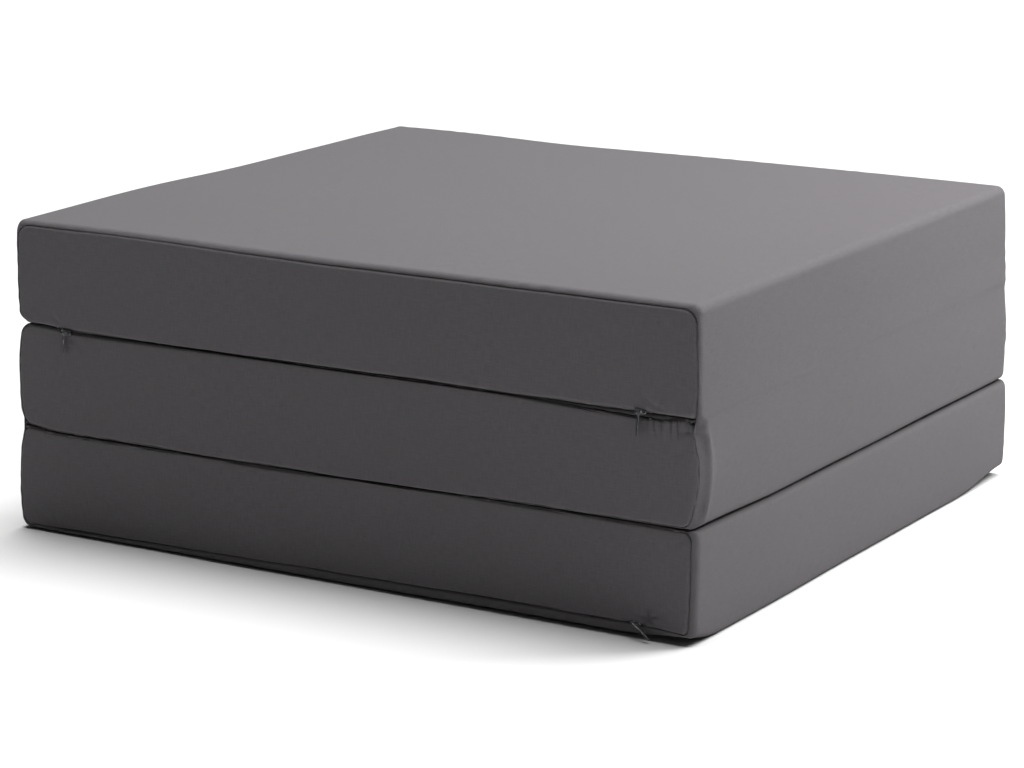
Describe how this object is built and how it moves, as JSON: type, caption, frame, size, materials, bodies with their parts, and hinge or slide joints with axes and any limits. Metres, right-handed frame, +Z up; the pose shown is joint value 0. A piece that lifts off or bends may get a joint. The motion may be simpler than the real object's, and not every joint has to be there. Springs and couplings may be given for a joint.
{
  "type": "folding foam mattress",
  "caption": "Folding foam guest mattress in zipped cloth covers, stacked as a low square pouf and opening flat into a single bed.",
  "frame": {"origin": "the centre of the lowest section's underside, on the floor", "axes": "+Z up through the stack, +X along the longer side of the stack, the zips on the -Y side"},
  "size_m": [0.65, 0.6055, 0.2666],
  "materials": {
    "cover_cloth": "charcoal grey plain weave",
    "side_panel": "charcoal grey plain weave",
    "foam": "open-cell polyurethane foam, off-white",
    "zip_tape": "dark grey woven tape",
    "zip_coil": "dark nylon coil",
    "zip_metal": "dark lacquered zinc"
  },
  "bodies": {
    "bottom_section": {"bottom_foam_core": "foam", "bottom_front_panel": "side_panel", "bottom_back_panel": "side_panel", "bottom_sleeping_cloth": "cover_cloth", "bottom_under_cloth": "cover_cloth", "bottom_zip_tape_panel_side": "zip_tape", "bottom_zip_coil_panel_side": "zip_coil", "bottom_zip_tape_edge_side": "zip_tape", "bottom_zip_coil_edge_side": "zip_coil", "bottom_zip_stop_left": "zip_metal", "bottom_zip_stop_right": "zip_metal", "lower_fold_seam": "cover_cloth"},
    "bottom_slider": {"bottom_zip_slider": "zip_metal"},
    "bottom_pull": {"bottom_zip_pull": "zip_metal"},
    "middle_section": {"middle_foam_core": "foam", "middle_front_panel": "side_panel", "middle_back_panel": "side_panel", "middle_sleeping_cloth": "cover_cloth", "middle_under_cloth": "cover_cloth", "middle_zip_tape_panel_side": "zip_tape", "middle_zip_coil_panel_side": "zip_coil", "middle_zip_tape_edge_side": "zip_tape", "middle_zip_coil_edge_side": "zip_coil", "middle_zip_stop_left": "zip_metal", "middle_zip_stop_right": "zip_metal", "upper_fold_seam": "cover_cloth"},
    "middle_slider": {"middle_zip_slider": "zip_metal"},
    "middle_pull": {"middle_zip_pull": "zip_metal"},
    "top_section": {"top_foam_core": "foam", "top_front_panel": "side_panel", "top_back_panel": "side_panel", "top_sleeping_cloth": "cover_cloth", "top_under_cloth": "cover_cloth", "top_zip_tape_panel_side": "zip_tape", "top_zip_coil_panel_side": "zip_coil", "top_zip_tape_edge_side": "zip_tape", "top_zip_coil_edge_side": "zip_coil", "top_zip_stop_left": "zip_metal", "top_zip_stop_right": "zip_metal"},
    "top_slider": {"top_zip_slider": "zip_metal"},
    "top_pull": {"top_zip_pull": "zip_metal"}
  },
  "joints": [
    {"name": "fold_lower", "type": "hinge", "parent": "bottom_section", "child": "middle_section", "pos_m": [-0.325, 0, 0.0888], "axis": [0, -1, 0], "range_deg": [0, 180]},
    {"name": "fold_upper", "type": "hinge", "parent": "middle_section", "child": "top_section", "pos_m": [0.325, 0, 0.1778], "axis": [0, 1, 0], "range_deg": [0, 180]},
    {"name": "bottom_zip_slide", "type": "slide", "parent": "bottom_section", "child": "bottom_slider", "axis": [1, 0, 0], "range_m": [-0.54, 0]},
    {"name": "bottom_pull_swing", "type": "hinge", "parent": "bottom_slider", "child": "bottom_pull", "pos_m": [0.268, -0.304, 0.0095], "axis": [-1, 0, 0], "range_deg": [0, 165]},
    {"name": "middle_zip_slide", "type": "slide", "parent": "middle_section", "child": "middle_slider", "axis": [1, 0, 0], "range_m": [0, 0.516]},
    {"name": "middle_pull_swing", "type": "hinge", "parent": "middle_slider", "child": "middle_pull", "pos_m": [-0.268, -0.304, 0.1751], "axis": [-1, 0, 0], "range_deg": [0, 165]},
    {"name": "top_zip_slide", "type": "slide", "parent": "top_section", "child": "top_slider", "axis": [1, 0, 0], "range_m": [-0.523, 0]},
    {"name": "top_pull_swing", "type": "hinge", "parent": "top_slider", "child": "top_pull", "pos_m": [0.275, -0.304, 0.1805], "axis": [-1, 0, 0], "range_deg": [0, 165]}
  ]
}
